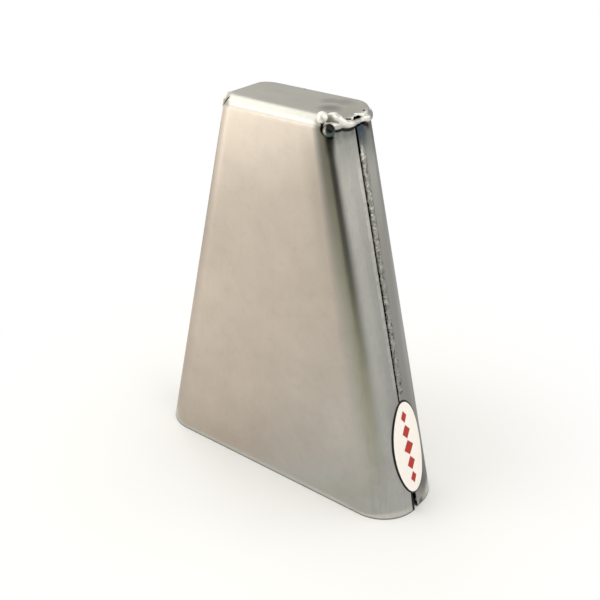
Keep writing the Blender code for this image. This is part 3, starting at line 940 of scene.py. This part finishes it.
def smooth_weld(place, pits=(), shade_spots=()):
    """Weld that ran freely: silvery with soft patches, greyed by painted shade in a few spots and black in
    its pits.
    """
    patches = place.cloud(2.6, 3.0, 0.6)
    fine = place.cloud(0.45, 2.0)
    colour = patches.over(0.28, 0.52).blend(ROLL_GREY, ROLL_BRIGHT)
    # Painted shade: the weld greyed in the given spots.
    for x, y, z, reach, share in shade_spots:
        dull = place.away_from(x, y, z).over(reach, reach * SHADE_CORE) * patches.over(0.15, 0.45)
        colour = (dull * share).blend(colour, ROLL_SHADE)
    for pit in pits:
        black = place.away_from(pit.x, pit.y, pit.z).over(pit.reach, pit.reach * PIT_CORE)
        colour = black.blend(colour, WELD_PIT)
    roughness = 0.28 + patches * 0.14 + fine * 0.08
    return colour, roughness, patches * 0.6 + fine * 0.4, 0.05


def roll_of_weld(name, runs, side, pits, finish):
    """A piece of one or more runs of weld on the right or the left side.

    A spot of a run is how far round the side, the height, the lift off the steel and the radius, in mm.
    """
    bm = bmesh.new()
    for spots in runs:
        points = [side_point(girth * MM, height * MM, lift * MM) for girth, height, lift, radius in spots]
        radii = [radius * MM for girth, height, lift, radius in spots]
        lay_weld(bm, points if side > 0 else mirrored(points), radii, RIGHT * side, ROLL_LUMPS, pits)
    return finished_mesh(name, bm, [finish])


roll_metal = new_finish("smooth weld", ROLL_METALLIC, smooth_weld)
right_metal = new_finish("pitted weld", ROLL_METALLIC, smooth_weld, RIGHT_PITS, RIGHT_SHADE_SPOTS)
for name, node, spots, side, pits, finish in (
    ("right_end_roll", "right_crown_weld", RIGHT_ROLL, 1, RIGHT_PITS, right_metal),
    ("left_end_roll", "left_crown_weld", LEFT_ROLL, -1, (), roll_metal),
):
    roll = roll_of_weld(name, [spots], side, pits, finish)
    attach(roll, "root")
    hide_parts(node)

# The welds round the rear corners
# Short runs that carry on from the rolls round to the rear face. The right-hand one starts in a fat,
# gassy lump with pores and a burst crater.
RIGHT_REAR = [
    (7.8, 197.6, -0.5, 1.7),
    (9.5, 197.4, -0.4, 2.1),
    (11.7, 197.1, -0.5, 2.25),
    (14.3, 197.2, -0.6, 2.0),
    (17.2, 197.6, -0.5, 1.8),
    (20.2, 197.6, -0.5, 2.0),
    (23.4, 197.6, -0.5, 1.8),
]
LEFT_REAR = [
    (7.8, 197.8, -0.5, 1.8),
    (10.9, 197.7, -0.5, 2.0),
    (14.0, 197.6, -0.5, 1.8),
    (17.1, 197.6, -0.5, 2.0),
    (20.2, 197.6, -0.5, 1.8),
    (23.4, 197.6, -0.5, 2.0),
]
GASSY_PITS = [
    Pit(34.6, 8.7, 199.8, 0.6, 0.5),
    Pit(34.5, 7.9, 199.4, 0.9, 0.4),
]
STRAND = [
    (1.8, 200.6, -0.7, 0.3),
    (3.4, 200.3, -0.5, 0.5),
    (5.4, 199.7, -0.5, 0.6),
    (7.6, 199.0, -0.4, 1.0),
]
# Painted shade over the rear run.
GASSY_SHADE_SPOTS = ((34.6, 13.6, 199.2, 5.6, 0.92),)
gassy_metal = new_finish("gassy weld", ROLL_METALLIC, smooth_weld, GASSY_PITS, GASSY_SHADE_SPOTS)
for name, node, runs, side, pits, finish in (
    ("right_rear_run", "rear_right_corner_weld", [RIGHT_REAR, STRAND], 1, GASSY_PITS, gassy_metal),
    ("left_rear_run", "rear_left_corner_weld", [LEFT_REAR], -1, (), roll_metal),
):
    corner_run = roll_of_weld(name, runs, side, pits, finish)
    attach(corner_run, "root")
    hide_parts(node)

# The rear crown weld
# The straight weld between the crown's rear lip and the rear sheet, ground level with both,
# so that only its scores and a slight swelling show.
REAR_BEAD = 1.05 * MM
REAR_SPOTS = 20
BACKWARD = Vector((0.0, 1.0, 0.0))
rear_weld_low, rear_weld_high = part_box("rear_crown_weld")
rear_middle = (rear_weld_low + rear_weld_high) / 2
rear_length = rear_weld_high.x - rear_weld_low.x - 2 * REAR_BEAD
rear_path = []
for step in range(REAR_SPOTS + 1):
    x = rear_weld_low.x + REAR_BEAD + rear_length * step / REAR_SPOTS
    rear_path.append(Vector((x, rear_middle.y, rear_middle.z)))
rear_radii = [REAR_BEAD] * len(rear_path)
rear_run = weld_run("rear_crown_run", rear_path, rear_radii, BACKWARD, TACK_LUMPS, ground_metal)
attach(rear_run, "root")
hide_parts("rear_crown_weld")

# The ball and the drip at the front right corner
# Where the run started, a ball of bright weld froze on the corner, and a second, burnt one hangs under it.
# The drip is dark with glossy oxide, with a painted dark reflection near its top and a painted highlight on
# its rim.
ball_low, ball_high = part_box("front_right_corner_weld")
BALL_LUMP = 0.14 * MM
BALL_LUMP_RUN = 2.0 * MM
BALL_SHRINK = 0.4
DRIP_SIZE = Vector((3.0, 3.0, 3.1)) * MM
DRIP_ANGLE = 42.0
DRIP_HEIGHT = 197.4 * MM
DRIP_LIFT = 0.5 * MM
DROP_FINENESS = 5
# A painted highlight along the drip's rim, and a painted dark reflection near its top.
DRIP_RIM_HIGHLIGHT = ((1.2, ((30.4, -19.3, 199.4), (30.5, -19.6, 198.3), (31.2, -19.8, 196.9))),)
DRIP_DARK_REFLECTION = (33.3, -18.2, 199.3)
GREEN_RISE = (198.4, 197.0)
OXIDE_BLACK = (0.030, 0.030, 0.028, 1.0)
OXIDE_GREY = (0.230, 0.228, 0.212, 1.0)
OXIDE_GREEN = (0.110, 0.175, 0.145, 1.0)


def frozen_drop(name, middle, size, finish):
    """A drop of weld: a ball pulled a little out of shape as it froze."""
    bm = bmesh.new()
    bmesh.ops.create_icosphere(bm, subdivisions=DROP_FINENESS, radius=1.0)
    for vert in bm.verts:
        ray = vert.co.normalized()
        spot = middle + Vector((ray.x * size.x, ray.y * size.y, ray.z * size.z))
        lump = noise.noise(spot / BALL_LUMP_RUN) - BALL_SHRINK
        vert.co = spot + ray * BALL_LUMP * lump
    return finished_mesh(name, bm, [finish])


def burnt_weld(place):
    """Weld under glossy black oxide, with a green cast low down, a painted dark reflection and a painted
    highlight on its rim.
    """
    patches = place.cloud(1.3, 3.0, 0.6)
    colour = patches.over(0.35, 0.70).blend(OXIDE_BLACK, OXIDE_GREY)
    low = place.part("Z").over(*GREEN_RISE)
    colour = (low * 0.8).blend(colour, OXIDE_GREEN)
    shade_and_dark_reflection = place.away_from(*DRIP_DARK_REFLECTION).over(2.8, 1.6)
    colour = (shade_and_dark_reflection * 0.9).blend(colour, PAINTED_SHADE_BLACK)
    colour = place.near_lines(DRIP_RIM_HIGHLIGHT).blend(colour, CRUST_GREY)
    roughness = 0.26 + patches * 0.2
    return colour, roughness, patches, 0.06


ball = frozen_drop("front_corner_ball", (ball_low + ball_high) / 2, (ball_high - ball_low) / 2, roll_metal)
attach(ball, "root")
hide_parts("front_right_corner_weld")
drip_place = corner_point(-1, DRIP_ANGLE, DRIP_HEIGHT, DRIP_LIFT)
drip_metal = new_finish("burnt weld", 1.0, burnt_weld)
drip = frozen_drop("front_corner_drip", drip_place, DRIP_SIZE, drip_metal)
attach(drip, "root")
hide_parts("front_right_weld_drip")

# The oval label
# A die-cut vinyl sticker, white with a black line round its edge and a plain red motif of lozenges.
# It is pressed round the right side just above the mouth, over the seam.
LABEL_WIDTH = 24.5 * MM
LABEL_HEIGHT = 51.5 * MM
LABEL_MIDDLE = 34.4 * MM
LABEL_OFF_CENTRE = -0.9 * MM
LABEL_TOP = 0.30 * MM
LABEL_BACK = 0.02 * MM
LABEL_RIM = ((0.996, LABEL_TOP), (1.0, LABEL_TOP * 0.7), (1.0, LABEL_BACK), (0.9, LABEL_BACK))
LABEL_RINGS = 26
LABEL_SPOKES = 96
SEAM_DENT = 0.12 * MM
FIELD_SHIFT = (0.022, -0.006)
FIELD_SIZE = (0.930, 0.962)
LOZENGES = (
    (-0.66, 0.20, 0.13),
    (-0.34, 0.28, 0.15),
    (0.0, 0.34, 0.16),
    (0.34, 0.28, 0.15),
    (0.66, 0.20, 0.13),
)
LOZENGE_EDGE = (1.06, 0.94)
LINE_EDGE = (0.993, 1.007)
FILM_WHITE = (0.925, 0.878, 0.815, 1.0)
FILM_GREY = (0.860, 0.812, 0.750, 1.0)
FILM_BLACK = (0.004, 0.004, 0.004, 1.0)
FILM_RED = (0.450, 0.034, 0.022, 1.0)
FILM_SPECULAR = 0.3


def label_film(place):
    """Printed vinyl: a black edge line, a white field and a column of red lozenges, faintly soiled."""
    print_place = place.node("UVMap", {"uv_map": "print"})
    across, along = print_place.part("X"), print_place.part("Y")
    field = print_place.stretched(1 / FIELD_SIZE[0], 1 / FIELD_SIZE[1], 0.0)
    out = field.away_from(FIELD_SHIFT[0] / FIELD_SIZE[0], FIELD_SHIFT[1] / FIELD_SIZE[1], 0.0)
    soil = place.cloud(9.0, 4.0, 0.6)
    colour = (soil.over(0.5, 0.85) * 0.6).blend(FILM_WHITE, FILM_GREY)
    for middle, width, length in LOZENGES:
        spread = abs(across) / width + abs(along - middle) / length
        colour = spread.over(*LOZENGE_EDGE).blend(colour, FILM_RED)
    colour = out.over(*LINE_EDGE).blend(colour, FILM_BLACK)
    roughness = 0.30 + soil * 0.15
    return colour, roughness, place.cloud(1.4, 2.0) * 0.5 + soil * 0.5, 0.015


label_bm = bmesh.new()
print_layer = label_bm.loops.layers.uv.new("print")
print_spots = {}


def label_point(share, turn, lift):
    """A point on the label, pressed a little into the seam."""
    girth = LABEL_OFF_CENTRE + share * LABEL_WIDTH / 2 * math.cos(turn)
    height = LABEL_MIDDLE + share * LABEL_HEIGHT / 2 * math.sin(turn)
    gap = taper(SEAM_AT_MOUTH, SEAM_AT_CROWN, height) + seam_gap(height) / 2
    dent = SEAM_DENT * math.exp(-((girth - gap) / SEAM_GAP_HIGH) ** 2)
    return side_point(girth, height, lift - dent)


def label_ring(share, lift):
    ring = []
    for spoke in range(LABEL_SPOKES):
        turn = 2 * math.pi * spoke / LABEL_SPOKES
        vert = label_bm.verts.new(label_point(share, turn, lift))
        print_spots[vert] = (share * math.cos(turn), share * math.sin(turn))
        ring.append(vert)
    return ring


label_rings = [label_ring(ring / LABEL_RINGS, LABEL_TOP) for ring in range(1, LABEL_RINGS)]
label_rings += [label_ring(share, lift) for share, lift in LABEL_RIM]
join_rings(label_bm, label_rings[::-1])
label_bm.faces.new(reversed(label_rings[-1]))
label_middle = label_bm.verts.new(label_point(0.0, 0.0, LABEL_TOP))
print_spots[label_middle] = (0.0, 0.0)
for spoke in range(LABEL_SPOKES):
    label_bm.faces.new((label_middle, label_rings[0][spoke], label_rings[0][(spoke + 1) % LABEL_SPOKES]))
for face in label_bm.faces:
    for loop in face.loops:
        loop[print_layer].uv = print_spots[loop.vert]
vinyl = new_finish("printed vinyl", 0.0, label_film, specular=FILM_SPECULAR)
label = finished_mesh("oval_sticker", label_bm, [vinyl])
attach(label, "root")
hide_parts("oval_label")

# The table and the surround
# A pale table that runs out to white, and on it a glowing ring that only the steel shows, a painted
# reflection:
# cream in front on the left, dark towards the camera and grey behind, as round any photograph of bright
# metal.
FLOOR_REACH = 4.0
FLOOR_WHITE = (0.95, 0.95, 0.95, 1.0)
FLOOR_ROUGHNESS = 0.9
FLOOR_SPECULAR = 0.1
SHADOW_FADE = (100.0, 240.0)
SURROUND_INNER = (0.0835, 0.0260)
SURROUND_SQUARE = 6
SURROUND_OUTER = 1.6
SURROUND_LIFT = 2 * MM
SURROUND_STEPS = 120
WALLS = ((0, 75, 0.9), (160, 250, 0.4))
RAMP_START = -135
BRIGHT_LEFT = ((-110, 1.15, 1), (-80, 1.45, 1), (-60, 2.40, 1), (-46, 2.60, 1), (-34, 2.50, 1))
SURROUND_TONES = (
    (40, ((-110, 0.56, 1), (-58, 0.72, 1), (-40, 0.72, 1), (0, 0.68, 0.6), (35, 0.66, 0.2), (55, 0.60, -0.3),
          (72, 0.64, 0), (94, 0.62, 0), (103, 0.26, 0), (142, 0.36, 0), (160, 0.31, 0), (225, 0.31, 0))),
    (100, ((-110, 0.64, 1), (-80, 0.76, 1), (-58, 0.90, 1), (-40, 0.90, 1), (0, 0.85, 0.6), (35, 0.78, 0.4),
           (55, 0.62, -0.3), (72, 0.64, 0), (94, 0.62, 0), (103, 0.26, 0), (142, 0.42, 0), (160, 0.36, 0),
           (225, 0.31, 0))),
    (260, ((-110, 0.74, 1), (-80, 0.92, 1), (-58, 1.13, 1), (-46, 1.13, 1), (-32, 0.98, 1), (-8, 0.78, 0.8),
           (30, 0.65, -0.4), (52, 0.60, -1), (62, 0.63, -0.6), (72, 0.74, 0), (86, 0.70, 0), (98, 0.62, 0),
           (112, 0.56, 0), (128, 0.52, 0), (142, 0.62, 0), (160, 0.60, 0), (225, 0.46, 0))),
    (480, ((-110, 0.69, 1), (-80, 0.81, 1), (-58, 0.94, 1), (-46, 0.93, 1), (-32, 0.71, 1), (-12, 0.64, 0.8),
           (12, 0.60, -0.5), (32, 0.64, -0.8), (44, 0.48, -1), (62, 0.42, -1), (70, 0.76, 0), (86, 0.84, 0),
           (98, 0.65, 0), (114, 0.57, 0), (130, 0.54, 0), (142, 0.54, 0), (160, 0.49, 0), (225, 0.42, 0))),
    (640, ((-110, 0.72, 1), (-80, 0.82, 1), (-58, 0.93, 1), (-46, 0.92, 1), (-32, 0.66, 1), (-12, 0.54, 0.8),
           (12, 0.48, -0.5), (36, 0.52, -1), (50, 0.26, -1), (62, 0.26, -1), (74, 0.74, 0), (112, 0.76, 0),
           (130, 0.56, 0), (142, 0.51, 0), (160, 0.45, 0), (225, 0.41, 0))),
    (740, (*BRIGHT_LEFT, (-17, 0.56, 0.8), (6, 0.34, -0.5), (36, 0.36, -1), (46, 0.12, -1), (62, 0.12, -1),
           (72, 0.36, 0), (84, 0.68, 0), (112, 0.70, 0), (130, 0.54, 0), (142, 0.46, 0), (160, 0.43, 0),
           (225, 0.39, 0))),
    (920, (*BRIGHT_LEFT, (-17, 0.54, 0.8), (4, 0.26, -0.5), (18, 0.26, -1), (36, 0.28, -1), (44, 0.0, 0),
           (60, 0.0, 0), (67, 0.14, 0), (77, 0.36, 0), (88, 0.62, 0), (112, 0.66, 0), (130, 0.52, 0),
           (142, 0.45, 0), (160, 0.43, 0), (225, 0.38, 0))),
)
CREAM = (1.0, 0.860, 0.755)
OLIVE = (1.0, 0.970, 0.700)

floor_bm = bmesh.new()
bmesh.ops.create_grid(floor_bm, x_segments=1, y_segments=1, size=FLOOR_REACH)
floor_material, floor_shader, floor_place = new_material("pale table", 0.0, FLOOR_SPECULAR)
floor_tree = floor_material.node_tree
floor_shader.inputs["Base Color"].default_value = FLOOR_WHITE
floor_shader.inputs["Roughness"].default_value = FLOOR_ROUGHNESS
seen = floor_place.node("LightPath", output="Is Camera Ray")
for ray in ("Is Glossy Ray", "Is Transmission Ray"):
    seen = seen.maths("MAXIMUM", seen, seen.node("LightPath", output=ray))
plain_white = seen.node("Emission", None, {"Color": (1.0, 1.0, 1.0, 1.0), "Strength": 1.0})
far_off = floor_place.away_from(0.0, 0.0, 0.0).over(*SHADOW_FADE)
bare_floor = Wire(floor_tree, floor_shader.outputs[0])
surface = seen.node("MixShader", None, {0: seen * far_off, 1: bare_floor, 2: plain_white})
floor_tree.links.new(surface.socket, floor_tree.nodes["Material Output"].inputs["Surface"])
floor = finished_mesh("table", floor_bm, [floor_material])


def round_the_bell(bearing, tones):
    """A colour by bearing, 0 in front and 90 on the right, from stops of bearing, level and warmth.

    The warmth is 1 for cream, 0 for grey and -1 for olive.
    """
    stops = []
    for degrees, level, warmth in tones:
        tint = CREAM if warmth > 0 else OLIVE
        red, green, blue = (level * (1 + (part - 1) * abs(warmth)) for part in tint)
        stops.append(((degrees - RAMP_START) / 360, (red, green, blue, 1.0)))
    return bearing.node("ValToRGB", {"stops": stops}, {0: bearing})


def glowing_surround(name):
    """The ring's glow: colours round the bell at each of its distances, and between them a blend."""
    material, shader, place = new_material(name, 0.0, 0.0)
    shader.inputs["Base Color"].default_value = (0.0, 0.0, 0.0, 1.0)
    shader.inputs["Emission Strength"].default_value = 1.0
    turn = math.radians(-180 - RAMP_START)
    spun = place.node("VectorRotate", {"rotation_type": "Z_AXIS"}, {0: place, "Angle": turn})
    bearing = place.maths("ARCTAN2", spun.part("X"), 0 - spun.part("Y")) / (2 * math.pi) + 0.5
    distance = place.away_from(0.0, 0.0, 0.0)
    reached, stops = SURROUND_TONES[0]
    tone = round_the_bell(bearing, stops)
    for reach, stops in SURROUND_TONES[1:]:
        tone = distance.over(reached, reach).blend(tone, round_the_bell(bearing, stops))
        reached = reach
    tone.tree.links.new(tone.socket, shader.inputs["Emission Color"])
    return material


def inner_edge(ray):
    """How far out the ring starts: on a square with round corners, close round the bell's foot."""
    parts = [abs(part / half) ** SURROUND_SQUARE for part, half in zip(ray, SURROUND_INNER)]
    return sum(parts) ** (-1 / SURROUND_SQUARE)


surround_bm = bmesh.new()
surround_rows = []
lift = Vector((0, 0, SURROUND_LIFT))
for step in range(SURROUND_STEPS + 1):
    degrees = 360 * step / SURROUND_STEPS
    ray = Vector((math.sin(math.radians(degrees)), -math.cos(math.radians(degrees)), 0.0))
    row = [surround_bm.verts.new(ray * reach + lift) for reach in (inner_edge(ray), SURROUND_OUTER)]
    for start, stop, height in WALLS:
        if start <= degrees <= stop:
            row.append(surround_bm.verts.new(ray * SURROUND_OUTER + Vector((0, 0, height))))
    surround_rows.append(row)
for row, after in zip(surround_rows, surround_rows[1:]):
    for index in range(min(len(row), len(after)) - 1):
        surround_bm.faces.new((row[index], row[index + 1], after[index + 1], after[index]))
surround = finished_mesh("surround", surround_bm, [glowing_surround("glowing surround")])
surround.visible_camera = False
surround.visible_diffuse = False
surround.visible_shadow = False
surround.visible_transmission = False

# The lamps and the camera
# Soft panels in an even pale room: two large ones and a low warm one on the left make the crown's front edge
# white, two on the right light the label, and a weak one hangs above. The camera looks down a little.
PANEL_AIM = Vector((0, 0, 0.15))
WORLD_LEVEL = 0.68
WORLD_TINT = (1.0, 0.985, 0.935, 1.0)
PICTURE = 600
CAMERA_FOCUS = 920
SENSOR = 36.0
CAMERA_AZIMUTH = math.radians(37.357)
CAMERA_ELEVATION = math.radians(28.207)
CAMERA_ROLL = math.radians(0.237)
CAMERA_DISTANCE = 2.364 * BELL_HEIGHT
CAMERA_RIGHT = 0.01197 * BELL_HEIGHT
CAMERA_UP = -0.02767 * BELL_HEIGHT


def soft_panel(name, place, width, height, colour, brightness):
    """A panel lamp that faces the bell, as bright as a white card of that brightness."""
    lamp_data = bpy.data.lights.new(name, "AREA")
    lamp_data.shape = "RECTANGLE"
    lamp_data.size = width
    lamp_data.size_y = height
    lamp_data.color = colour
    lamp_data.energy = math.pi * width * height * brightness
    lamp = new_object(name, lamp_data)
    lamp.location = place
    lamp.rotation_euler = (PANEL_AIM - Vector(place)).to_track_quat("-Z", "Y").to_euler()
    lamp.visible_camera = False


soft_panel("upper_left_panel", (-0.80, -0.06, 1.08), 1.75, 0.6, (1.0, 0.99, 0.96), 1.45)
soft_panel("front_left_panel", (-0.67, -0.85, 0.76), 0.9, 0.85, (1.0, 0.97, 0.92), 1.05)
soft_panel("low_warm_panel", (-0.80, -1.20, 0.22), 1.2, 0.46, (1.0, 0.89, 0.78), 1.15)
soft_panel("rear_right_panel", (1.0, 0.95, 0.62), 0.8, 0.6, (0.98, 0.99, 1.0), 1.4)
soft_panel("right_panel", (1.25, -0.10, 0.80), 1.2, 0.8, (1.0, 0.98, 0.95), 1.42)
soft_panel("top_panel", (0.25, 0.10, 1.60), 1.3, 1.3, (1.0, 0.99, 0.97), 0.4)

world = bpy.data.worlds.new("studio")
world.use_nodes = True
world.node_tree.nodes["Background"].inputs["Color"].default_value = WORLD_TINT
world.node_tree.nodes["Background"].inputs["Strength"].default_value = WORLD_LEVEL
bpy.context.scene.world = world

out_level = math.cos(CAMERA_ELEVATION)
right = Vector((math.cos(CAMERA_AZIMUTH), math.sin(CAMERA_AZIMUTH), 0.0))
back = Vector((right.y * out_level, -right.x * out_level, math.sin(CAMERA_ELEVATION)))
up = back.cross(right)
rolled_right = right * math.cos(CAMERA_ROLL) + up * math.sin(CAMERA_ROLL)
rolled_up = back.cross(rolled_right)
camera_data = bpy.data.cameras.new("camera")
camera_data.sensor_width = SENSOR
camera_data.lens = CAMERA_FOCUS * SENSOR / PICTURE
camera = new_object("camera", camera_data)
camera.rotation_euler = Matrix((rolled_right, rolled_up, back)).transposed().to_euler()
aim = Vector((0, 0, BELL_HEIGHT / 2)) + right * CAMERA_RIGHT + up * CAMERA_UP
camera.location = aim + back * CAMERA_DISTANCE
bpy.context.scene.camera = camera
bpy.context.scene.view_settings.view_transform = "Standard"
